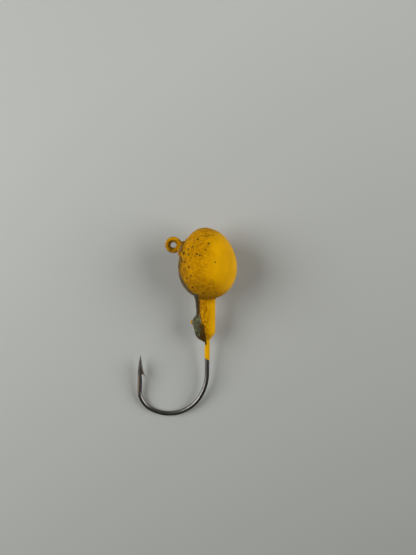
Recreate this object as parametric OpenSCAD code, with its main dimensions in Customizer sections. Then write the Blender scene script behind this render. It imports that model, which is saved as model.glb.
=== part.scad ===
// Half-ounce ball jig head on a long-shank hook, lying on its side.
//
// The shapes are drawn in the plane of the hook: the middle of the ball is at the
// origin, the nose points to +Y, the hook's tail to -Y, and the line eye, the bait
// keeper and the hook point are all on the -X side. at_rest() then lays the finished
// shapes on the table, Z = 0, with the middle of their box over the origin.

/* [Hook wire] */
// Diameter of the hook wire
wire_d = 0.95; // [0.8:0.05:1.1]
// From the middle of the shank to the middle of the point leg
hook_gap = 14.55; // [13:0.05:16]
// From the middle of the ball to where the shank starts to bend
shank_len = 23.7; // [22:0.1:28]
// Bend radius of the heel, where the shank runs out
heel_r = 10.4; // [9.5:0.1:12]
// Degrees turned by the heel
heel_turn = 31; // [20:1:40]
// Degrees turned by the bottom of the bend
bottom_turn = 88; // [80:1:95]
// Bend radius next to the point leg
front_r = 4.7; // [4:0.1:6]
// Degrees turned next to the point leg
front_turn = 63; // [55:1:65]

/* [Hook point] */
// Length of the point leg, from the bend to the tip
point_len = 7.6; // [6:0.1:9]
// Length of the sharpened stretch
needle_len = 3.8; // [3:0.1:4.5]
// Length of the cut barb
barb_len = 3; // [2:0.1:3.5]
// How far the barb's tip stands off the middle of the leg
barb_reach = 1.35; // [1:0.05:1.6]
// Thickness of the barb at its root
barb_t = 0.45; // [0.3:0.05:0.6]

/* [Line eye] */
// Hole left for the line once the paint has been cleared
eye_hole_d = 1.2; // [1.0:0.05:1.25]
// Radius of the eye's ring, to the middle of its wire
eye_ring_r = 1.13; // [1.1:0.01:1.2]
// From the shank's middle out to the eye's middle
eye_out = 7.1; // [7:0.05:7.6]
// How far the eye is ahead of the ball's middle
eye_ahead = 3.9; // [3.5:0.1:4.1]
// Bend radius of the wire inside the ball
neck_r = 1.6; // [1.2:0.1:2]

/* [Lead head] */
// Diameter of the bare ball at its middle
ball_d = 12.1; // [11.5:0.1:12.5]
// Length of the bare ball, nose to tail
ball_len = 14.7; // [14.5:0.1:15.5]
// How much the ball narrows to its nose and swells to its tail: 0 is an ellipse
ball_egg = 0.11; // [0:0.01:0.18]
// Diameter of the boss that carries the eye
boss_d = 2.9; // [2.8:0.1:3.2]
// From the shank's middle to the boss's end
boss_out = 5.55; // [5.4:0.05:5.6]
// How far the boss's middle is behind the eye's
boss_drop = 0.75; // [0.4:0.05:0.8]
// Diameter of the pad left where the pouring gate was broken off
gate_d = 3; // [2:0.1:3.6]
// How far the gate's pad is off the shank's line
gate_off = 0.9; // [0:0.1:1.5]
// How far the gate's pad stands above the ball's nose
gate_rise = 0.12; // [0.1:0.02:0.3]
// Diameter of the bait collar
collar_d = 3.26; // [3:0.02:3.5]
// From the ball's middle to the end of the bait collar
collar_end = 16.2; // [15.4:0.1:17]
// Length over which the collar tapers to the wire
collar_taper = 1.65; // [1.2:0.05:2]

/* [Bait keeper] */
// How far the keeper's tip is from the shank's middle
keeper_out = 3.1; // [2.8:0.05:3.3]
// From the ball's middle to the keeper's tip
keeper_at = 12.6; // [12.4:0.1:12.9]
// Thickness of the keeper across the plane of the hook
keeper_t = 2.1; // [1.8:0.1:2.4]
// Thickness of the web that joins the ball and the keeper
web_t = 0.7; // [0.5:0.05:0.9]

/* [Paint] */
// Thickness of the powder paint
paint_t = 0.09; // [0.08:0.01:0.12]
// From the ball's middle to the end of the paint on the shank
paint_end = 20.5; // [18:0.1:22]
// Width of the bare seam along the ball's keeper side
seam_w = 1.2; // [0.6:0.1:1.6]
// How far the seam's middle is above the plane of the hook
seam_up = 0.8; // [0:0.1:1]
// Diameter of the fleck of paint on the keeper's tip
fleck_d = 0.8; // [0.6:0.05:0.9]

/* [Rest] */
// Degrees that the point side is raised when the jig lies on the table
rest_roll = -2; // [-4:0.1:4]

/* [Hidden] */
$fn = 96;

wire_r = wire_d / 2;
painted_r = wire_r + paint_t;
collar_r = collar_d / 2;
ball_r = ball_d / 2;
ball_half = ball_len / 2;
ball_steps = 40;
far = 60;

// The bend is three arcs that run into each other. h1, h2 and h3 are the headings at
// which they end, in degrees turned from the shank's own direction.
h1 = heel_turn;
h2 = h1 + bottom_turn;
h3 = h2 + front_turn;
bottom_r = (hook_gap - heel_r * (1 - cos(h1)) - front_r * (cos(h2) - cos(h3)))
    / (cos(h1) - cos(h2));
heel_c = [-heel_r, -shank_len];
bottom_c = heel_c + (heel_r - bottom_r) * toward(h1);
front_c = bottom_c + (bottom_r - front_r) * toward(h2);
leg_start = front_c + front_r * toward(h3);
bend_low = bottom_r - bottom_c[1];

// The keeper is a hull round a chisel-edged tip and four beads. Each bead is [out from
// the shank's middle, ahead of the tip, radius].
keeper_beads = [[1.3, 1.1, 0.6], [1.5, -0.9, keeper_t / 2], [1.5, -2.8, 0.75], [0.5, -3.6, 0.5]];
tip_edge = 0.5;
web_out = 2.4;
web_ahead = 5.7;
// Diameter of the needle's end, and how far up the needle it has thinned to 0.7 of the wire.
tip_d = 0.12;
needle_mid = needle_len / 2;

// The ball and the bottom of the bend touch the table together.
painted_ball = ball_outline(ball_r + paint_t, ball_half + paint_t);
rest_pitch = pitch_for(10, 12);
rest_lift = ball_support(rest_pitch);
rest_x = (front_r + wire_r - front_c[0] - max([for (p = painted_ball) p[0]])) / 2;
rest_y = (wire_r + (bend_low - ball_half - gate_rise - paint_t) * cos(rest_pitch)
    - (gate_d / 2 + paint_t) * sin(rest_pitch)) / 2;

function toward(h) = [cos(h), -sin(h)];
// Half the outline of the ball, from its nose to its tail: an ellipse with an egg's taper.
function ball_outline(r, half) = [for (i = [0:ball_steps]) let (t = 180 * i / ball_steps)
    [r * sin(t) * (1 - ball_egg * cos(t)), half * cos(t)]];
// How far the painted ball reaches below its middle when it is tilted.
function ball_support(tilt) = max([for (p = painted_ball) p[0] * cos(tilt) - p[1] * sin(tilt)]);
// How far the bottom of the bend reaches down because of the roll and its own round.
function bend_support(tilt) = wire_r + bottom_c[0] * cos(tilt) * sin(rest_roll)
    + bottom_r * norm([cos(tilt) * sin(rest_roll), sin(tilt)]);
function pitch_for(guess, passes) = passes == 0 ? guess
    : pitch_for(asin((ball_support(guess) - bend_support(guess)) / -bottom_c[1]), passes - 1);

module at_rest() {
    translate([rest_x, rest_y, rest_lift])
        rotate([rest_pitch, 0, 0])
            rotate([0, rest_roll, 0])
                children();
}

// ---- building blocks, in the plane of the hook ----

// A stretch of round stock bent about the point c, between two headings.
module arc_stock(c, bend_r, from, to, r) {
    translate([c[0], c[1], 0])
        rotate_extrude(angle = to - from, start = -to)
            translate([bend_r, 0]) circle(r);
}

module along_y(from, to, r) {
    translate([0, to, 0]) rotate([-90, 0, 0]) cylinder(r = r, h = from - to);
}

module along_x(from, to, r, y) {
    translate([from, y, 0]) rotate([0, 90, 0]) cylinder(r = r, h = to - from);
}

module eye_ring(r) {
    translate([-eye_out, eye_ahead, 0])
        rotate_extrude() translate([eye_ring_r, 0]) circle(r);
}

// The wire from the eye to the shank: out of the ring, into the ball and round the corner.
module neck_wire() {
    difference() {
        along_x(-eye_out + eye_ring_r, -neck_r, wire_r, eye_ahead);
        eye_ring(wire_r);
    }
    arc_stock([-neck_r, eye_ahead - neck_r], neck_r, -90, 0, wire_r);
}

// The ball with its boss and gate pad, all standing out by skin more than bare metal.
module head_shape(skin) {
    rotate([-90, 0, 0]) rotate_extrude()
        polygon(ball_outline(ball_r + skin, ball_half + skin));
    along_x(-boss_out - skin, -boss_out / 2, boss_d / 2 + skin,
        eye_ahead - boss_drop);
    translate([-gate_off, 0, 0])
        along_y(ball_half + gate_rise + skin, ball_half / 2, gate_d / 2 + skin);
}

module collar_shape(skin) {
    along_y(0, -collar_end + collar_taper, collar_r + skin);
    translate([0, -collar_end + collar_taper, 0]) rotate([90, 0, 0])
        cylinder(r1 = collar_r + skin, r2 = painted_r + skin, h = collar_taper + skin);
}

module keeper_shape() {
    hull() {
        translate([-keeper_out, -keeper_at, 0])
            cube([tip_edge / 10, tip_edge, tip_edge], center = true);
        for (bead = keeper_beads)
            translate([-bead[0], bead[1] - keeper_at, 0]) sphere(r = bead[2], $fn = 32);
    }
    translate([-web_out, -keeper_at, -web_t / 2]) cube([web_out, web_ahead, web_t]);
}

// ---- the hook: one steel wire, in seven named stretches ----

module hook_eye() {
    color("dimgray") at_rest() eye_ring(wire_r);
}

module hook_neck() {
    color("dimgray") at_rest() neck_wire();
}

module hook_shank() {
    color("dimgray") at_rest() along_y(eye_ahead - neck_r, -shank_len, wire_r);
}

module hook_heel() {
    color("dimgray") at_rest() arc_stock(heel_c, heel_r, 0, h1, wire_r);
}

module hook_bend() {
    color("dimgray") at_rest() arc_stock(bottom_c, bottom_r, h1, h2, wire_r);
}

module hook_throat() {
    color("dimgray") at_rest() arc_stock(front_c, front_r, h2, h3, wire_r);
}

module hook_point() {
    color("dimgray") at_rest()
        translate([leg_start[0], leg_start[1], 0])
            rotate([0, 0, 180 - h3])
                point_leg();
}

// The leg runs up +Y from the bend, and the barb is on its shank side.
module point_leg() {
    shoulder = point_len - needle_len;
    along_y(shoulder, 0, wire_r);
    translate([0, shoulder, 0]) rotate([-90, 0, 0]) {
        cylinder(d1 = wire_d, d2 = 0.7 * wire_d, h = needle_mid);
        translate([0, 0, needle_mid])
            cylinder(d1 = 0.7 * wire_d, d2 = tip_d, h = needle_len - needle_mid);
    }
    barb_low = shoulder - 0.3 * barb_len;
    barb_root = barb_low + barb_len / 6;
    translate([0, 0, -barb_t / 2]) linear_extrude(barb_t)
        polygon([[0, barb_low + barb_len], [0.6 * barb_reach, barb_low + barb_len / 4],
                 [barb_reach, barb_low], [0.8 * wire_r, barb_root], [0, barb_root]]);
}

// ---- the casting: one piece of lead, in three named regions ----

module lead_ball() {
    color("slategray") at_rest() difference() {
        head_shape(0);
        neck_wire();
        eye_ring(wire_r);
        along_y(eye_ahead - neck_r, -far, wire_r);
    }
}

module lead_collar() {
    color("slategray") at_rest() difference() {
        collar_shape(0);
        head_shape(0);
        along_y(far, -far, wire_r);
    }
}

module lead_keeper() {
    color("slategray") at_rest() difference() {
        keeper_shape();
        collar_shape(0);
        head_shape(paint_t);
        along_y(0, -far, wire_r);
    }
}

// ---- the powder paint: one coat on the metal, and a fleck on its own ----

module paint_head() {
    color("orange") at_rest() difference() {
        head_shape(paint_t);
        head_shape(0);
        eye_ring(wire_r);
        along_y(0, -far, collar_r);
        translate([-ball_r - 1, -far, seam_up - seam_w / 2]) cube([ball_r, far, seam_w]);
    }
}

module paint_collar() {
    color("orange") at_rest() difference() {
        collar_shape(paint_t);
        collar_shape(0);
        head_shape(paint_t);
        keeper_shape();
        along_y(0, -far, painted_r);
    }
}

module paint_shank() {
    color("orange") at_rest() difference() {
        along_y(-collar_end, -paint_end, painted_r);
        along_y(far, -far, wire_r);
        keeper_shape();
    }
}

module paint_eye() {
    color("orange") at_rest() difference() {
        eye_ring(painted_r);
        eye_ring(wire_r);
        translate([-eye_out, eye_ahead, 0])
            cylinder(d = eye_hole_d, h = 4 * wire_d, center = true);
        translate([-boss_out - paint_t, 0, -ball_r]) cube(ball_d);
    }
}

module paint_keeper_fleck() {
    color("orange") at_rest()
        along_x(-keeper_out - fleck_d / 2, -keeper_out - tip_edge / 20, fleck_d / 2,
            -keeper_at);
}

hook_eye();
hook_neck();
hook_shank();
hook_heel();
hook_bend();
hook_throat();
hook_point();
lead_ball();
lead_collar();
lead_keeper();
paint_head();
paint_collar();
paint_shank();
paint_eye();
paint_keeper_fleck();
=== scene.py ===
import math

import bmesh
import bpy
import numpy as np
from mathutils import Matrix, Vector


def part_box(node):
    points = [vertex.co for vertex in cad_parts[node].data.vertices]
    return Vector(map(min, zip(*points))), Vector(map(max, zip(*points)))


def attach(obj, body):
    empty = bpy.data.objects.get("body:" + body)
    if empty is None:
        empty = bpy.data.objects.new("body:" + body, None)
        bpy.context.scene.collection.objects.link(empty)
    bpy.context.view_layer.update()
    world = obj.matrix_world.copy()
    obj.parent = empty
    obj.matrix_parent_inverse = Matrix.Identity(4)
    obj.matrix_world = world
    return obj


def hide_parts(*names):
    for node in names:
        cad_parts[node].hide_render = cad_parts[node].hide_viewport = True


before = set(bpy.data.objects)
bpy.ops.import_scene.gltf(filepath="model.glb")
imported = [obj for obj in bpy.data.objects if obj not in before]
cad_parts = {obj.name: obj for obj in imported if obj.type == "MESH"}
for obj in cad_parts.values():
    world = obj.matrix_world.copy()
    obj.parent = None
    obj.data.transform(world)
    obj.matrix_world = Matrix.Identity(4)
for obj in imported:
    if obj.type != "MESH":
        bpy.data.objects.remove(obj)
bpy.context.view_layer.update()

# Lengths are millimetres in the plane of the hook. The origin is on the shank's line, just
# behind the ball's middle. The nose points to +Y, and the eye, keeper and point are at -X.
MM = 0.001
BALL_AHEAD, BALL_R, BALL_HALF, BALL_EGG = 0.22, 6.05, 7.35, 0.11
GATE, GATE_RISE, GATE_LEAN = (-1.16, 7.2), 0.42, math.radians(10)
BOSS_Y, BOSS_R = 3.4, 1.42
EYE, EYE_RING_R, EYE_STOCK_R = (-7.14, 4.2), 1.155, 0.475
BALL_END = -7.0
COLLAR_R, COLLAR_END = 1.63, -16.0
# Where one piece of the coat meets the next: x beside the eye, and y behind the collar.
EYE_CUT, COLLAR_CUT = -5.75, -16.15
PAINT_END = -20.1
SHANK = (2.58, -23.42)
WIRE_R = 0.475
COAT = 0.09
ROLL = math.radians(-2)


def rest_transform():
    """Rotation and shift from the hook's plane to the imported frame, read off the CAD shank."""
    lo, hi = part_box("hook_shank")
    size = (hi - lo) / MM
    length = SHANK[0] - SHANK[1]
    pitch = math.radians(9)
    for _ in range(20):
        pitch = math.asin((size.z - 2 * WIRE_R * math.cos(pitch)) / length)
    turn = np.array(Matrix.Rotation(pitch, 3, "X") @ Matrix.Rotation(ROLL, 3, "Y"))
    middle = np.array((lo + hi) / 2) / MM
    return turn, middle - turn @ np.array([0, sum(SHANK) / 2, 0])


TURN, SHIFT = rest_transform()


def to_row(p):
    """Points given in the hook's plane, in millimetres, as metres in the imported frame."""
    return (p @ TURN.T + SHIFT) * MM


def from_above(p):
    """x, y and height of points as they lie at rest, measured from the same origin."""
    return (p @ TURN.T).T


# ---- fields: each takes points (N, 3) and gives a signed distance, below 0 inside ----

def smooth_min(a, b, k):
    h = np.clip(0.5 + 0.5 * (b - a) / k, 0, 1)
    return b * (1 - h) + a * h - k * h * (1 - h)


def smooth_max(a, b, k):
    return -smooth_min(-a, -b, k)


def step(a, b, x):
    """0 before a, 1 past b, and a smooth rise between them. a may be the higher."""
    t = np.clip((x - a) / (b - a), 0, 1)
    return t * t * (3 - 2 * t)


def rounded(a, b, soft):
    """What is inside both fields, with the edge between them rounded by soft."""
    q = np.stack([a + soft, b + soft], 1)
    return np.linalg.norm(np.maximum(q, 0), axis=1) + np.minimum(q.max(1), 0) - soft


def rod(off_axis, along, start, end, r, soft):
    """A round rod between two places along its axis, with softened ends."""
    return rounded(off_axis - r, np.abs(along - (start + end) / 2) - abs(end - start) / 2, soft)


def ring(p, x, y, ring_r, r):
    out = np.hypot(p[:, 0] - x, p[:, 1] - y) - ring_r
    return np.hypot(out, p[:, 2]) - r


def outline(p, points):
    """Signed distance in the plane to a closed outline."""
    pts = np.array(points, float)
    x, y = p[:, 0], p[:, 1]
    best = np.full(len(p), 1e9)
    inside = np.zeros(len(p), bool)
    for a, b in zip(pts, np.roll(pts, -1, 0)):
        e = b - a
        t = np.clip(((x - a[0]) * e[0] + (y - a[1]) * e[1]) / (e @ e), 0, 1)
        best = np.minimum(best, np.hypot(x - a[0] - t * e[0], y - a[1] - t * e[1]))
        crosses = (a[1] > y) != (b[1] > y)
        with np.errstate(divide="ignore", invalid="ignore"):
            inside ^= crosses & (x < e[0] * (y - a[1]) / e[1] + a[0])
    return np.where(inside, -best, best)


def plate(p, points, half, soft):
    """An outline made half thick each way, with its edges rounded by soft."""
    return rounded(outline(p, points), np.abs(p[:, 2]) - half, soft)


# ---- seeded noise ----

CORNERS = [(dx, dy, dz) for dx in (0, 1) for dy in (0, 1) for dz in (0, 1)]
LATTICE_N = 64
LATTICE = np.random.default_rng(11).uniform(-1, 1, (LATTICE_N,) * 3)
LATTICE_START = 100.37


def noise(p, size, shift=0.0):
    """Smooth noise from -1 to 1 that changes over about size. shift picks another stretch of it."""
    q = p / size + LATTICE_START + shift
    i = np.floor(q).astype(int)
    f = q - i
    f = f * f * (3 - 2 * f)
    out = np.zeros(len(p))
    for dx, dy, dz in CORNERS:
        w = ((f[:, 0] if dx else 1 - f[:, 0]) * (f[:, 1] if dy else 1 - f[:, 1])
             * (f[:, 2] if dz else 1 - f[:, 2]))
        out += w * LATTICE[tuple(((i + (dx, dy, dz)) % LATTICE_N).T)]
    return out


def layered(p, size, shift=0.0):
    """Noise with two finer layers on it."""
    return (noise(p, size, shift) + 0.5 * noise(p, size / 2, shift + 7)
            + 0.25 * noise(p, size / 4, shift + 13)) / 1.4


# ---- meshing a field ----

COARSE = 4          # cells in a block of the first, coarse pass
NEAR_BLOCKS = 2.2   # blocks within this many block widths of the surface get the fine pass


def slope(field, p, e=0.004):
    g = np.stack([field(p + d) - field(p - d) for d in np.eye(3) * e], 1)
    return g / (2 * e)


def corner(grid, d):
    """A view of a grid that is one shorter each way, from its near (0) or far (1) end."""
    return grid[tuple(slice(k, n - 1 + k) for k, n in zip(d, grid.shape))]


def enlarged(grid, times):
    for axis in range(3):
        grid = np.repeat(grid, times, axis)
    return grid


def sampled(field, lo, n, cell):
    """The field on a grid of n points, worked out near its surface and only signed elsewhere."""
    coarse_n = (n - 1) // COARSE + 1
    at = np.indices(coarse_n).reshape(3, -1).T * cell * COARSE + lo
    coarse = field(at).reshape(coarse_n)
    near = np.abs(coarse) < cell * COARSE * NEAR_BLOCKS
    blocks = enlarged(np.logical_or.reduce([corner(near, d) for d in CORNERS]), COARSE)
    fine = np.ones(n)
    fine[:-1, :-1, :-1] = np.where(enlarged(coarse[:-1, :-1, :-1], COARSE) < 0, -1, 1)
    todo = np.zeros(n, bool)
    for d in CORNERS:
        corner(todo, d)[blocks] = True
    fine[todo] = field(np.argwhere(todo) * cell + lo)
    return fine


def skin_of(field, lo, hi, cell):
    """Quads on the surface where field is 0, by surface nets, drawn exactly onto it."""
    lo = np.array(lo, float)
    n = np.ceil((np.array(hi) - lo) / cell / COARSE).astype(int) * COARSE + 1
    inside = sampled(field, lo, n, cell) < 0
    count = sum(corner(inside, d).astype(int) for d in CORNERS)
    active = (count > 0) & (count < len(CORNERS))
    index = np.full(n - 1, -1)
    index[active] = np.arange(active.sum())
    points = (np.argwhere(active) + 0.5) * cell + lo
    faces = []
    for axis in range(3):
        u, v = (axis + 1) % 3, (axis + 2) % 3
        a, b = [slice(None)] * 3, [slice(None)] * 3
        a[axis], b[axis] = slice(0, -1), slice(1, None)
        e = np.argwhere(inside[tuple(a)] != inside[tuple(b)])
        e = e[(e[:, u] > 0) & (e[:, v] > 0) & (e[:, u] < n[u] - 1) & (e[:, v] < n[v] - 1)]
        leaving = inside[tuple(e.T)]
        du, dv = np.eye(3, dtype=int)[u], np.eye(3, dtype=int)[v]
        quad = np.stack([index[tuple((e - du - dv).T)], index[tuple((e - dv).T)],
                         index[tuple(e.T)], index[tuple((e - du).T)]], 1)
        faces.append(np.where(leaving[:, None], quad, quad[:, ::-1]))
    for _ in range(5):
        g = slope(field, points)
        move = field(points)[:, None] * g / np.maximum((g * g).sum(1), 0.05)[:, None]
        size = np.linalg.norm(move, axis=1)
        points -= move * np.minimum(1, cell / np.maximum(size, 1e-9))[:, None]
    return points, np.concatenate(faces)


def vertex_normals(points, faces):
    a, b, c, d = points[faces].transpose(1, 0, 2)
    face_normals = np.cross(c - a, d - b)
    n = np.zeros_like(points)
    for i in range(4):
        np.add.at(n, faces[:, i], face_normals)
    return n / np.maximum(np.linalg.norm(n, axis=1), 1e-12)[:, None]


def raised(points, faces, by):
    """A skin's points, each moved out along its normal."""
    return points + vertex_normals(points, faces) * by[:, None]


def capped(points, faces, name):
    """A mesh of some of a skin's quads, with its open edges closed by flat caps."""
    mesh = bpy.data.meshes.new(name)
    mesh.from_pydata(to_row(points).tolist(), [], faces.tolist())
    bm = bmesh.new()
    bm.from_mesh(mesh)
    rim = [e for e in bm.edges if e.is_boundary]
    bmesh.ops.holes_fill(bm, edges=rim, sides=0)
    bm.faces.ensure_lookup_table()
    bmesh.ops.triangulate(bm, faces=bm.faces[len(faces):])
    bm.to_mesh(mesh)
    bm.free()
    return mesh


def set_normals(mesh, normals, n_skin):
    """Smooth normals on the first n_skin faces, from the whole skin, and flat ones on the caps."""
    def read(items, key, size, kind):
        values = np.empty(len(items) * size, kind)
        items.foreach_get(key, values)
        return values

    smooth = np.arange(len(mesh.polygons)) < n_skin
    mesh.polygons.foreach_set("use_smooth", smooth)
    corner_normals = (normals @ TURN.T)[read(mesh.loops, "vertex_index", 1, np.int32)]
    flat = read(mesh.polygons, "normal", 3, float).reshape(-1, 3)
    owner = np.repeat(np.arange(len(smooth)), read(mesh.polygons, "loop_total", 1, np.int32))
    on_cap = ~smooth[owner]
    corner_normals[on_cap] = flat[owner[on_cap]]
    mesh.normals_split_custom_set(corner_normals.tolist())


def make_pieces(points, faces, masks, material, parts):
    """Divides a skin into closed pieces, each in place of a CAD node. parts holds each piece's
    name, the share of the faces that it takes and its node. masks go with it as attributes."""
    normals = vertex_normals(points, faces)
    for name, where, node in parts:
        used, local = np.unique(faces[where], return_inverse=True)
        mesh = capped(points[used], local.reshape(-1, 4), name)
        set_normals(mesh, normals[used], np.count_nonzero(where))
        rest = mesh.attributes.new("rest_mm", "FLOAT_VECTOR", "POINT")
        rest.data.foreach_set("vector", points[used].astype(np.float32).ravel())
        for key, value in masks.items():
            attribute = mesh.attributes.new(key, "FLOAT", "POINT")
            attribute.data.foreach_set("value", value[used].astype(np.float32))
        mesh.materials.append(material)
        piece = bpy.data.objects.new(name, mesh)
        bpy.context.scene.collection.objects.link(piece)
        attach(piece, "root")
        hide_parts(node)


# ---- the shape of the casting ----

KEEPER = [(-1.0, -10.4), (-2.2, -10.5), (-2.6, -11.0), (-2.9, -11.5), (-3.14, -12.05),
          (-3.16, -12.45), (-3.0, -12.85), (-2.8, -13.5), (-2.6, -14.5), (-2.32, -15.35),
          (-1.75, -15.95), (-1.0, -16.35), (-0.5, -16.6), (0.2, -16.6), (0.3, -10.6)]
WEB = [(0, -5.8), (-2.95, -5.8), (-2.8, -6.7), (-2.52, -7.6), (-2.42, -8.7), (-2.32, -9.9),
       (-2.3, -12.5), (0, -12.5)]
WEB_HALF = 0.36


def ball(p):
    """An ellipsoid that is round about the shank's line and narrows towards the nose."""
    v = (p[:, 1] - BALL_AHEAD) / BALL_HALF
    rho = np.hypot(p[:, 0], p[:, 2]) / (BALL_R * (1 - BALL_EGG * np.clip(v, -1.2, 1.2)))
    return (np.hypot(rho, v) - 1) * BALL_R


def gate(p):
    """The low mound on the nose where the pouring gate was broken off. It dies out into the
    ball from 2.4 mm behind GATE."""
    x, y = p[:, 0] - GATE[0], p[:, 1] - GATE[1]
    across = x * math.cos(GATE_LEAN) + y * math.sin(GATE_LEAN)
    up = y * math.cos(GATE_LEAN) - x * math.sin(GATE_LEAN)
    rho = np.hypot(across, p[:, 2])
    dome = up - GATE_RISE + 0.125 * rho ** 2
    cone = 0.7 * (rho + 0.1 * across - 1.75 + 1.05 * up)
    return smooth_max(dome, cone, 0.3) + 0.25 * np.maximum(-2.4 - up, 0) ** 2


def head_field(p):
    """The ball, the gate's mound and the boss that carries the eye."""
    d = smooth_min(ball(p), gate(p) + 0.05 * noise(p, 0.9), 0.5)
    boss = rod(np.hypot(p[:, 1] - BOSS_Y, p[:, 2]), p[:, 0], -BALL_R, -2, BOSS_R, 0.3)
    return smooth_min(d, boss, 0.5)


def lead_field(p):
    """The whole casting: the head, the collar with its conical end, the web and the keeper."""
    x, y, z = p.T
    off_axis = np.hypot(x, z)
    cone = 0.82 * (off_axis - 1.72 - 0.7 * (y + 14.4))
    collar = smooth_max(rod(off_axis, y, 0, COLLAR_END, COLLAR_R, 0.5), cone, 0.3)
    d = smooth_min(collar, head_field(p), 0.6)
    d = smooth_min(d, plate(p, WEB, WEB_HALF, 0.12), 0.12)
    keeper_half = 0.45 + 0.6 * step(-10.8, -12.2, y) - 0.45 * step(-13.6, -16.2, y)
    return smooth_min(d, plate(p, KEEPER, keeper_half, 0.3), 0.22)


def coat_field(p):
    """What the paint lies on: the casting, the eye and the shank to just past the paint's end."""
    d = smooth_min(lead_field(p), ring(p, *EYE, EYE_RING_R, EYE_STOCK_R), 0.4)
    shank = rod(np.hypot(p[:, 0], p[:, 2]), p[:, 1], 0, -21.2, WIRE_R, 0.05)
    return smooth_min(d, shank, 0.25)


# ---- where the coat is bare, coarse or pitted ----

# The paint's edge beside the web and the keeper: distance behind the origin, and x.
PAINT_EDGE = [(7, -1.8), (8.2, -1.77), (10.3, -1.66), (11.9, -1.25), (13, -1.33), (14, -1.48),
              (15.4, -1.5), (16.0, -1.15), (16.6, -0.45)]

# The pits that are seen one by one: x and y as seen from above, and radius.
NAMED_PITS = [(-5.2, 3.0, 0.48), (-4.84, 2.33, 0.48), (-5.33, 1.33, 0.5), (-5.22, 0.76, 0.48),
              (-1.98, 5.14, 0.3), (0.22, 4.28, 0.31), (-3.05, 3.62, 0.3), (-2.15, 2.15, 0.3),
              (-1.5, 1.86, 0.26), (-0.28, 2.98, 0.24), (-0.8, -5.95, 0.32), (1.6, 0.48, 0.23),
              (-3.74, -0.58, 0.32), (-3.3, -2.27, 0.28), (-4.6, 0.48, 0.3), (-3.95, 3.13, 0.3),
              (-3.85, 1.97, 0.27), (-4.8, -1.0, 0.28), (-4.27, -2.9, 0.28), (-3.0, -4.6, 0.27)]
BIG_PITS, SMALL_PITS = 80, 900
PIT_DEPTH = 0.075

# The short row of dots across the nose.
ROW_DOTS, ROW_FROM, ROW_TO, ROW_Y, ROW_DOT_R = 6, -1.2, 1.0, 5.95, 0.2


def bare_lead(p):
    """1 where the lead is bare, 0 under paint: down the keeper side, on the web and on the keeper."""
    x, y, z = p.T
    rag = layered(p, 0.7, 3)
    # The seam's middle lies above the hook's plane, and rises and widens towards the collar.
    lower = step(-0.5, -4, y)
    off_middle = np.abs(z - (1.0 + 1.05 * lower))
    strip = (step(0.12, -0.12, off_middle - (0.95 + 0.2 * lower) - 0.5 * rag)
             * step(-1.3, -2.2, x) * step(2.3, 1.6, y + 0.4 * rag) * step(-7.4, BALL_END, y))
    edge = np.interp(-y, *zip(*PAINT_EDGE))
    keeper = step(0.08, -0.08, x - edge - 0.12 * rag) * step(-6.3, -6.6, y)
    return np.maximum(strip, keeper)


def roughness_share(p):
    """1 where the paint is coarse and pitted, on the eye's half, and 0 where it is smooth."""
    x, y, _ = p.T
    bow = np.where(y > 0.3, 0.035, 0.14) * (y - 0.3) ** 2
    return step(2.2, -2.0, x - bow + 0.6 * layered(p, 2.5, 21)) * step(-8.5, -6.5, y)


def pits_on(points, n, seed, weight, smallest, largest):
    """Seeded random pits, as centres and radii, denser where weight is high."""
    rng = np.random.default_rng(seed)
    pick = rng.choice(len(points), n, p=weight / weight.sum())
    return points[pick], smallest + (largest - smallest) * rng.random(n) ** 2.5


def on_top(points, spots):
    """The points of a skin that are seen from above at each (x, y)."""
    seen_x, seen_y, height = from_above(points)
    best = [np.argmin((seen_x - x) ** 2 + (seen_y - y) ** 2 + 100 * (height < 0))
            for x, y in spots]
    return points[best]


def sink(points, centres, radii):
    """How deep each point lies in the pits, from 0 at a rim to 1 at the middle of a pit."""
    depth = np.zeros(len(points))
    for c, r in zip(centres, radii):
        near = np.flatnonzero(np.abs(points - c).max(1) < r)
        d = np.linalg.norm(points[near] - c, axis=1) / r
        depth[near] = np.maximum(depth[near], step(1, 0.25, d) * min(1, r / 0.2))
    return depth


def pits_in_coat(points, coarse, streak):
    """How deep each point of the coat lies in a pit: the random, the dotted and the named ones."""
    x, y, z = points.T
    near_eye = np.exp(-((x + 4.4) ** 2 + (y - 3.0) ** 2) / 6)
    edge = step(-3.0, -5.5, x) * step(-7, -5, y)
    weight = (0.02 + 0.5 * coarse + 2.4 * near_eye + 1.2 * edge) * (x > -6)
    weight *= np.where(y > -6.8, 1, 0.05 + 0.3 * streak) * np.where(z > -3, 1, 0.1)
    uppermost = step(2.0, 3.5, from_above(points)[2])
    big = pits_on(points, BIG_PITS, seed=5, weight=weight * (1 - 0.92 * uppermost),
                  smallest=0.15, largest=0.32)
    small = pits_on(points, SMALL_PITS, seed=6, weight=weight * (coarse + 0.02),
                    smallest=0.07, largest=0.15)
    row_x = np.linspace(ROW_FROM, ROW_TO, ROW_DOTS)
    row = on_top(points, np.stack([row_x, ROW_Y + 0.1 * np.sin(row_x * 3)], 1))
    named = np.array(NAMED_PITS)
    return np.maximum.reduce([
        sink(points, *big),
        0.8 * sink(points, *small),
        1.2 * sink(points, row, np.full(ROW_DOTS, ROW_DOT_R)),
        1.1 * sink(points, on_top(points, named[:, :2]), named[:, 2])])


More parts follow.
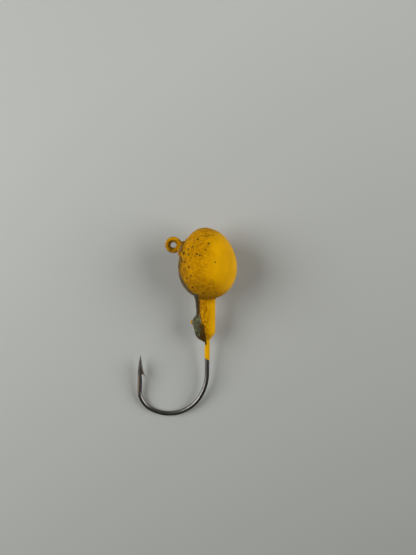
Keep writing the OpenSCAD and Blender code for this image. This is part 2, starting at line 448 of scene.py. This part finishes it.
def stain_and_shade_on_coat(points):
    """How much the coat is darkened: a brown stain where the paint thins beside bare lead, and
    painted shade in the groove by the keeper, where the ball meets the collar, in the eye, along the
    neck, low on the eye's side and towards the ball's tail.
    """
    x, y, z = points.T
    seen_x, seen_y, height = from_above(points)
    broken = layered(points, 0.8, 71) * 0.5 + 0.5
    on_ball = y > BALL_END
    beside_bare = np.maximum(bare_lead(points + np.array([-0.12, 0, -0.1])),
                             bare_lead(points + np.array([-0.3, 0, -0.45])))
    beside_bare *= step(-16.9, -16.5, y)
    # Painted shade on the lower part of the ball's eye side.
    low_left = 0.95 * step(-1.5, -5.0, x + 0.35 * y + 1.4) * step(5.5, 1.0, y) * on_ball
    # Painted shade, mottled, towards the ball's tail.
    low = 0.32 * step(0.0, -5.0, y) * step(3.5, 0.0, x) * (0.6 + 0.4 * broken) * on_ball
    # The groove between keeper and collar: partly the thin paint's own darkness, partly painted
    # shade.
    crease = (step(0.85, 0.55, np.abs(x + 1.1 + 0.12 * (y + 14))) * step(-11.6, -12.8, y)
              * step(-17.4, -16.9, y))
    # Painted shade in the corner where the ball meets the collar.
    joint = 0.5 * step(0.45, 0.0, np.abs(y + 6.95)) * step(1.4, -1.0, x) * (z > -2)
    # Painted shade inside the eye's ring and round its hole, heavier on the side away from the ball.
    eye_r = np.hypot(x - EYE[0], y - EYE[1])
    in_eye = 0.75 * step(1.45, 0.95, eye_r) * (0.45 + 0.55 * step(0.7, -0.5, x - EYE[0]))
    # Painted shade along the neck, beside the scrape on the boss.
    neck = 0.9 * step(0.5, 0.15, np.abs(seen_x + 4.95 + 0.33 * (4.8 - seen_y)))
    neck *= step(1.9, 1.3, np.abs(seen_y - 3.5)) * (height > -1)
    stain_and_shade = np.maximum.reduce([low, 0.85 * beside_bare * (0.6 + 0.4 * broken), low_left * broken,
                              crease, joint, in_eye, neck * (0.4 + 0.6 * broken)])
    return np.clip(stain_and_shade, 0, 1)


def worn_line(points):
    """The thin scrape between the boss and the ball."""
    seen_x, seen_y, height = from_above(points)
    off_line = np.abs((seen_x + 5.64) * 0.9 - (seen_y - 3.45) * 0.436)
    return step(0.16, 0.06, off_line) * step(0.85, 0.5, np.abs(seen_y - 3.45)) * (height > 0)


# ---- materials ----

def rgb(r, g, b):
    """A colour in the renderer's own linear light, fully opaque."""
    return (r, g, b, 1.0)


class Nodes:
    """Short names for the nodes that the materials and the room use."""

    # A colour Mix node's sockets: its two colours and its result.
    MIX_A, MIX_B, MIX_RESULT = 6, 7, 2

    def __init__(self, tree):
        self.tree = tree
        self.coordinates = None

    def node(self, kind, **inputs):
        made = self.tree.nodes.new(kind)
        for key, value in inputs.items():
            self.join(value, made.inputs[key.replace("_", " ")])
        return made

    def join(self, value, target):
        if isinstance(value, bpy.types.NodeSocket):
            self.tree.links.new(value, target)
        else:
            target.default_value = value

    def attribute(self, name, output="Fac"):
        made = self.tree.nodes.new("ShaderNodeAttribute")
        made.attribute_name = name
        return made.outputs[output]

    def noise(self, scale, detail=3.0, rough=0.6, at=None):
        made = self.node("ShaderNodeTexNoise", Vector=at or self.coordinates, Scale=scale,
                         Detail=detail, Roughness=rough)
        return made.outputs["Fac"]

    def vector_math(self, kind, vector, by):
        made = self.tree.nodes.new("ShaderNodeVectorMath")
        made.operation = kind
        self.join(vector, made.inputs[0])
        self.join(by, made.inputs[1])
        return made

    def ramp(self, value, low, high, to_low=0.0, to_high=1.0):
        made = self.node("ShaderNodeMapRange", Value=value, From_Min=low, From_Max=high,
                         To_Min=to_low, To_Max=to_high)
        return made.outputs["Result"]

    def math(self, kind, a, b):
        made = self.tree.nodes.new("ShaderNodeMath")
        made.operation = kind
        self.join(a, made.inputs[0])
        self.join(b, made.inputs[1])
        return made.outputs[0]

    def times(self, first, *others):
        for other in others:
            first = self.math("MULTIPLY", first, other)
        return first

    def mix(self, share, a, b):
        made = self.tree.nodes.new("ShaderNodeMix")
        made.data_type = "RGBA"
        self.join(share, made.inputs[0])
        self.join(a, made.inputs[self.MIX_A])
        self.join(b, made.inputs[self.MIX_B])
        return made.outputs[self.MIX_RESULT]

    def cover(self, colour, layers):
        """Lays each (share, colour) over the last."""
        for share, over in layers:
            colour = self.mix(share, colour, over)
        return colour


class Finish(Nodes):
    """A Principled material. Its textures follow a skin's rest_mm, or else the object."""

    def __init__(self, name, on_skin=True, **constants):
        self.material = bpy.data.materials.new(name)
        self.material.use_nodes = True
        super().__init__(self.material.node_tree)
        self.main = self.tree.nodes["Principled BSDF"]
        for key, value in constants.items():
            self.main.inputs[key.replace("_", " ")].default_value = value
        self.coordinates = (self.attribute("rest_mm", "Vector") if on_skin
                            else self.node("ShaderNodeTexCoord").outputs["Object"])

    def bump(self, height, strength, distance, base=None):
        made = self.node("ShaderNodeBump", Height=height, Strength=strength, Distance=distance)
        if base is not None:
            self.join(base, made.inputs["Normal"])
        return made.outputs["Normal"]

    def give(self, name, value):
        self.join(value, self.main.inputs[name])


def paint_material():
    s = Finish("powder_paint", Specular_IOR_Level=0.16, Specular_Tint=rgb(1.0, 0.6, 0.02))
    coarse, streak = s.attribute("coarse"), s.attribute("streak")
    broad = s.noise(0.28)
    along_shank = s.vector_math("MULTIPLY", s.coordinates, (2.2, 0.45, 2.2)).outputs[0]
    mottle = s.ramp(s.noise(1.0, 4, 0.7), 0.42, 0.62)
    dots = s.ramp(s.noise(2.6, 3, 0.65), 0.5, 0.6)
    runs = s.ramp(s.noise(1.0, at=along_shank), 0.42, 0.6)
    flecks = s.ramp(s.noise(2.2, 2, 0.5), 0.53, 0.6)
    clean = s.mix(s.ramp(broad, 0.35, 0.65), rgb(0.69, 0.338, 0.001), rgb(0.79, 0.392, 0.001))
    s.give("Base Color", s.cover(clean, [
        # The broad darkening of the coarse, eye-side half is partly that paint's own browner tone and
        # partly painted shade of that half.
        (s.times(coarse, 0.36), rgb(0.42, 0.17, 0.001)),
        (s.times(mottle, coarse, 0.6), rgb(0.36, 0.14, 0.001)),
        (s.times(dots, coarse, 0.6), rgb(0.26, 0.09, 0.001)),
        (s.times(streak, 0.4), rgb(0.42, 0.17, 0.001)),
        (s.times(runs, streak, 0.6), rgb(0.24, 0.085, 0.002)),
        (s.times(flecks, streak, 0.6), rgb(0.16, 0.055, 0.002)),
        # Brown stain beside bare lead, and painted shade in corners, in the eye, along the neck and
        # on the ball's lower parts.
        (s.attribute("stain_and_shade"), rgb(0.06, 0.03, 0.006)),
        (s.attribute("pit"), rgb(0.012, 0.028, 0.007)),
        (s.attribute("worn"), rgb(0.20, 0.14, 0.09))]))
    s.give("Roughness", s.ramp(s.math("ADD", coarse, s.times(broad, 0.5)), 0, 1.5, 0.5, 0.7))
    fine = s.bump(s.noise(9), 0.35, 0.00006)
    peel = s.times(s.noise(2.6), s.math("ADD", coarse, 0.12))
    s.give("Normal", s.bump(peel, 0.9, 0.00016, fine))
    return s.material


def lead_material():
    s = Finish("cast_lead", Metallic=0.5)
    broad = s.ramp(s.noise(1.1, 4, 0.65), 0.35, 0.65)
    dull = s.mix(broad, rgb(0.065, 0.058, 0.028), rgb(0.155, 0.145, 0.082))
    s.give("Base Color", s.cover(dull, [
        (s.ramp(s.noise(3.4), 0.52, 0.68), rgb(0.045, 0.037, 0.02)),
        # Small bright yellow-green specks: painted glints on the lead.
        (s.ramp(s.noise(1.7, 2), 0.6, 0.66), rgb(0.20, 0.27, 0.08)),
        # A brown stain on the web and the seam, a darker foot, and painted shade in the crease by the
        # keeper.
        (s.attribute("stain_and_shade"), rgb(0.085, 0.046, 0.009))]))
    s.give("Roughness", s.ramp(s.noise(2.2), 0.3, 0.7, 0.45, 0.65))
    fine = s.bump(s.noise(11, 2), 0.3, 0.00004)
    s.give("Normal", s.bump(s.noise(3.5, 4, 0.65), 0.6, 0.0001, fine))
    return s.material


def wire_material():
    s = Finish("black_nickel", Metallic=1.0)
    stains = s.ramp(s.noise(0.8, 3, 0.5), 0.35, 0.7)
    clean = s.mix(stains, rgb(0.17, 0.162, 0.15), rgb(0.22, 0.209, 0.192))
    s.give("Base Color", s.cover(clean, [
        (s.ramp(s.noise(2.5), 0.6, 0.8), rgb(0.10, 0.09, 0.075)),
        # A rust tint that is partly a painted highlight along the leg's outer edge and the barb.
        (s.attribute("rust_and_sheen"), rgb(0.32, 0.235, 0.155)),
        # Painted shade: the bend's outer side, the leg's inner side by the throat, and the needle.
        (s.attribute("dark"), rgb(0.045, 0.04, 0.038))]))
    s.give("Roughness", s.ramp(s.noise(2, 2), 0.3, 0.7, 0.3, 0.4))
    s.give("Normal", s.bump(s.noise(5, 2), 0.12, 0.00003))
    return s.material


PAINT, LEAD, WIRE = paint_material(), lead_material(), wire_material()


# ---- the lead casting ----

def build_lead():
    points, faces = skin_of(lead_field, (-6.4, -17.6, -6.6), (6.6, 8.4, 6.6), cell=0.15)
    points = raised(points, faces, 0.018 * layered(points, 0.5, 41))
    x, y, _ = points.T
    # Painted shade in the groove between the keeper and the collar.
    crease = step(0.7, 0.0, np.abs(x + 1.1 + 0.2 * (y + 14))) * step(-11.8, -12.8, y)
    web = step(BALL_END, -7.4, y) * step(-11.4, -10.6, y)
    seam = 0.7 * step(BALL_END, -6.6, y) * (0.5 + 0.5 * layered(points, 0.6, 91))
    foot = 0.9 * step(-14.9, -15.7, y)
    # The mask holds that painted shade with the web's brown stain, the darker lead of the seam on the
    # ball and a darker foot.
    masks = {"stain_and_shade": np.clip(np.maximum.reduce([0.85 * crease, 0.55 * web, seam, foot]), 0, 1)}
    x, y, _ = points[faces].mean(1).T
    behind = y < -6.9
    # The keeper's piece holds the web too, and at the foot it reaches in to x = -0.4.
    keeper = behind & ((x < -1.55) | ((y < -15.3) & (x < -0.4)))
    make_pieces(points, faces, masks, LEAD,
                [("lead_ball_core", ~behind, "lead_ball"),
                 ("lead_collar_core", behind & ~keeper, "lead_collar"),
                 ("lead_keeper_barb", keeper, "lead_keeper")])


# ---- the powder paint ----

def build_coat():
    points, faces = skin_of(coat_field, (-9.3, -21.6, -6.6), (6.6, 8.4, 6.6), cell=0.1)
    x, y, z = points.T
    coarse = roughness_share(points)
    streak = step(-6.6, -8, y) * step(1.3, -0.4, x) * step(-16.6, -15.5, y)
    bare = bare_lead(points)
    depth = pits_in_coat(points, coarse, streak)
    # Bare patches sink below the lead's own skin, and past its end the coat goes into the wire.
    thick = (COAT + 0.010 * layered(points, 0.9, 51) + 0.035 * coarse * layered(points, 0.42, 61)
             - PIT_DEPTH * depth * (1 - bare) - 0.16 * bare)
    slant = PAINT_END - 0.3 * x / (WIRE_R + COAT) + 0.12 * noise(points, 0.4)
    past_end = step(0.05, -0.3, y - slant) * (np.hypot(x, z) < 1)
    points = raised(points, faces, thick * (1 - past_end) - 0.05 * past_end)
    masks = {"coarse": coarse, "stain_and_shade": stain_and_shade_on_coat(points), "streak": streak,
             "worn": worn_line(points), "pit": np.clip(depth * 1.1, 0, 1) * (1 - bare)}
    x, y, _ = points[faces].mean(1).T
    eye = x < EYE_CUT
    on_shank = y <= COLLAR_CUT
    make_pieces(points, faces, masks, PAINT,
                [("coat_on_head", (y > BALL_END) & ~eye, "paint_head"),
                 ("coat_on_eye", eye, "paint_eye"),
                 ("coat_on_collar", (y <= BALL_END) & ~on_shank, "paint_collar"),
                 ("coat_on_shank", on_shank, "paint_shank")])


def build_fleck():
    """The drop of paint that sits alone on the keeper's tip."""
    middle, half = np.array([-3.26, -12.28, 0.1]), np.array([0.28, 0.42, 0.42])

    def field(p):
        return (np.linalg.norm((p - middle) / half, axis=1) - 1) * half[0] + 0.03 * noise(p, 0.3)

    points, faces = skin_of(field, (-3.9, -13, -0.6), (-2.7, -11.6, 0.8), cell=0.05)
    zero = np.zeros(len(points))
    masks = {"coarse": zero + 0.3, "stain_and_shade": zero, "streak": zero, "worn": zero, "pit": zero}
    make_pieces(points, faces, masks, PAINT,
                [("paint_fleck", np.full(len(faces), True), "paint_keeper_fleck")])


# ---- the hook ----

def toward(turned):
    """The way outward from a bend's middle, after the wire has turned this many degrees."""
    h = math.radians(turned)
    return np.array([math.cos(h), -math.sin(h)])


# The wire turns to H1 round the heel, to H2 round the bottom and to H3 round the front.
H1, H2, H3 = 31, 119, 182
HEEL_R, BOTTOM_R, FRONT_R = 10.4, 7.933, 4.7
HEEL_C = np.array([-HEEL_R, SHANK[1]])
BOTTOM_C = HEEL_C + (HEEL_R - BOTTOM_R) * toward(H1)
FRONT_C = BOTTOM_C + (BOTTOM_R - FRONT_R) * toward(H2)
ARCS = ((HEEL_C, HEEL_R, 0, H1), (BOTTOM_C, BOTTOM_R, H1, H2), (FRONT_C, FRONT_R, H2, H3))
LEG = FRONT_C + FRONT_R * toward(H3)
LEG_TURN = math.radians(180 - H3)
POINT_LEN, NEEDLE_LEN = 7.6, 3.8
WIRE_TOP = -15.0


def leg_frame(p):
    """Along and across the point leg: t runs from the bend to the tip, s towards the shank."""
    along = np.array([-math.sin(LEG_TURN), math.cos(LEG_TURN)])
    across = np.array([math.cos(LEG_TURN), math.sin(LEG_TURN)])
    q = p[:, :2] - LEG
    return q @ along, q @ across


def turned_about(centre, x, y):
    """Degrees that the wire has turned where it passes a point, seen from an arc's middle."""
    return np.degrees(np.arctan2(centre[1] - y, x - centre[0])) % 360


def bend_field(p):
    """Distance to the middle line of the shank and the bend, less the wire's radius."""
    x, y, z = p.T
    flat = np.where(y >= SHANK[1], np.abs(x), np.hypot(x, y - SHANK[1]))
    for centre, r, h0, h1 in ARCS:
        turned = turned_about(centre, x, y)
        turned = np.where(turned > 300, turned - 360, turned)
        held = np.radians(np.clip(turned, h0, h1))
        near = np.hypot(x - centre[0] - r * np.cos(held), y - centre[1] + r * np.sin(held))
        flat = np.minimum(flat, near)
    return np.hypot(flat, z) - WIRE_R


def outward(p):
    """How far a point lies from the wire's middle line, away from the gap of the hook."""
    x, y, _ = p.T
    out = x.copy()
    for centre, r, h0, h1 in ARCS:
        turned = turned_about(centre, x, y)
        past = np.hypot(x - centre[0], y - centre[1]) - r
        out = np.where((turned >= h0) & (turned < h1) & (np.abs(past) < 1), past, out)
    return out


def point_field(p):
    """The straight leg, its needle end, the barb, and the nick that was cut to raise the barb."""
    t, s = leg_frame(p)
    shoulder = POINT_LEN - NEEDLE_LEN
    along = np.clip((t - shoulder) / NEEDLE_LEN, 0, 1)
    r = WIRE_R * (1 - along ** 1.7) + 0.03 * along
    side = np.maximum(np.hypot(s, p[:, 2]) - r, 0)
    end = np.abs(t - POINT_LEN / 2) - POINT_LEN / 2
    leg = np.hypot(side, np.maximum(end, 0))
    leg = np.where(leg > 0, leg, np.maximum(np.hypot(s, p[:, 2]) - r, end))
    low = shoulder - 0.9
    blade = [(0.0, low + 3.1), (0.4, low + 2.6), (0.62, low + 1.7), (0.84, low + 0.85),
             (1.36, low - 0.02), (1.3, low - 0.04), (0.72, low + 0.5), (0.3, low + 0.66),
             (0.0, low + 0.8)]
    cut = [(0.36, low + 0.7), (0.62, low + 0.45), (0.62, low - 0.7), (0.47, low - 0.8),
           (0.38, low)]
    q = np.stack([s, t, p[:, 2]], 1)
    barb = plate(q, blade, 0.24 - 0.1 * np.clip(s - 0.4, 0, 1), 0.05)
    return smooth_min(np.maximum(leg, -plate(q, cut, 0.6, 0.03)), barb, 0.06)


def wire_field(p):
    """The wire, from inside the end of the collar to the point."""
    return np.maximum(smooth_min(bend_field(p), point_field(p), 0.02), p[:, 1] - WIRE_TOP)


def build_wire():
    points, faces = skin_of(wire_field, (-15.8, -33.9, -0.8), (1.2, -14.6, 0.8), cell=0.075)
    points = raised(points, faces, 0.004 * layered(points, 0.6, 81))
    along, across = leg_frame(points)
    on_leg = points[:, 0] < -11.5
    outer = step(0.0, -0.3, across) * step(-2.5, -0.5, along)
    barb = step(0.4, 0.55, across) * step(1.5, 2, along)
    # Painted shade: the bend's outer side, the leg's inner side near the throat and the needle are
    # darkened.
    needle = on_leg * step(2.6, 4.4, along) * step(0.5, 0.4, across)
    inner = on_leg * step(0.1, 0.3, across) * step(-1, 0, along) * step(0.5, 0.45, across)
    bend_back = step(-0.05, 0.2, outward(points))
    shade_on_wire = np.maximum(np.where(on_leg & (along > -1), inner, bend_back), needle)
    # The rust tint on the leg's outer edge and the barb is partly a painted highlight.
    masks = {"rust_and_sheen": 0.9 * on_leg * np.maximum(outer, barb), "dark": 0.85 * shade_on_wire}
    middle = points[faces].mean(1)
    x, y, _ = middle.T
    shank = (y > SHANK[1]) & (x > -3)
    heel = ~shank & (x > -6) & (turned_about(HEEL_C, x, y) < H1)
    point = (x < -12) & (leg_frame(middle)[0] > 0)
    rest = ~shank & ~heel & ~point
    before_front = turned_about(BOTTOM_C, x, y) < H2
    make_pieces(points, faces, masks, WIRE,
                [("wire_shank", shank, "hook_shank"),
                 ("wire_heel", heel, "hook_heel"),
                 ("wire_bend", rest & before_front, "hook_bend"),
                 ("wire_throat", rest & ~before_front, "hook_throat"),
                 ("wire_point", point, "hook_point")])
    # The wire inside the paint and the lead stays as the CAD has it.
    for node in ("hook_eye", "hook_neck"):
        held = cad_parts[node]
        held.data.materials.clear()
        held.data.materials.append(WIRE)


build_lead()
build_coat()
build_fleck()
build_wire()


# ---- floor, light and camera ----

BALL = to_row(np.zeros((1, 3)))[0]
TABLE_R = 1.6
SENSOR = 36

# Name, azimuth, elevation, distance, width, height (m) and watts of each softbox.
LAMPS = (("left_light", 173, 38, 0.5, 0.39, 0.35, 2.3),
         ("right_light", 6, 35, 0.5, 0.395, 0.33, 1.85))

# Height of the camera above the table, what the picture's long side covers from there, and
# where the camera's axis passes the ball (mm).
CAMERA_UP, VIEW_LONG, CAMERA_OFF = 177, 120.7, (0.125, -2.62)


def build_floor():
    mesh = bpy.data.meshes.new("table_top")
    bm = bmesh.new()
    bmesh.ops.create_circle(bm, cap_ends=True, segments=96, radius=TABLE_R)
    bm.to_mesh(mesh)
    bm.free()
    floor = bpy.data.objects.new("table_top", mesh)
    bpy.context.scene.collection.objects.link(floor)
    s = Finish("pale_table", on_skin=False, Roughness=0.55, Specular_IOR_Level=0.3)
    # The table's colour lightens towards +Y and -X: painted light falloff from the lamps.
    across = s.vector_math("DOT_PRODUCT", s.coordinates, (-4.5, 7.2, 0)).outputs["Value"]
    grain = s.times(s.noise(9.0, 4.0, 0.5), 0.2)
    share = s.math("ADD", grain, s.math("ADD", across, 0.47))
    s.give("Base Color", s.mix(share, rgb(0.33, 0.338, 0.319), rgb(0.50, 0.512, 0.484)))
    mesh.materials.append(s.material)


def softbox(name, azimuth, elevation, distance, width, height, watts):
    """An area light that faces the ball from an azimuth (0 is +X, 90 is +Y) and elevation."""
    data = bpy.data.lights.new(name, "AREA")
    data.shape = "RECTANGLE"
    data.size, data.size_y = width, height
    data.energy = watts
    a, e = math.radians(azimuth), math.radians(elevation)
    out = Vector((math.cos(a) * math.cos(e), math.sin(a) * math.cos(e), math.sin(e)))
    lamp = bpy.data.objects.new(name, data)
    lamp.location = Vector((BALL[0], BALL[1], 0)) + out * distance
    lamp.rotation_mode = "QUATERNION"
    lamp.rotation_quaternion = out.to_track_quat("Z", "Y")
    bpy.context.scene.collection.objects.link(lamp)


def build_room():
    """Dim light from all round, brighter low down and towards +Y."""
    world = bpy.data.worlds.new("room")
    bpy.context.scene.world = world
    world.use_nodes = True
    s = Nodes(world.node_tree)
    back = s.tree.nodes["Background"]
    back.inputs["Color"].default_value = rgb(1.0, 1.0, 0.98)
    way = s.node("ShaderNodeTexCoord").outputs["Generated"]
    split = s.node("ShaderNodeSeparateXYZ", Vector=way)
    glow = s.times(s.ramp(split.outputs["Y"], -0.8, 0.9, 0.05, 0.22),
                   s.ramp(split.outputs["Z"], 0.1, 0.8, 1.0, 0.0))
    s.join(s.math("ADD", glow, 0.018), back.inputs["Strength"])


def build_camera():
    data = bpy.data.cameras.new("camera")
    data.sensor_width = SENSOR
    data.lens = SENSOR * CAMERA_UP / VIEW_LONG
    data.clip_start, data.clip_end = 0.01, 10
    camera = bpy.data.objects.new("camera", data)
    camera.location = (BALL[0] + CAMERA_OFF[0] * MM, BALL[1] + CAMERA_OFF[1] * MM, CAMERA_UP * MM)
    camera.rotation_euler = (0, 0, math.radians(0.25))
    bpy.context.scene.collection.objects.link(camera)
    bpy.context.scene.camera = camera
    bpy.context.scene.view_settings.view_transform = "Standard"


build_floor()
build_room()
for lamp_row in LAMPS:
    softbox(*lamp_row)
build_camera()
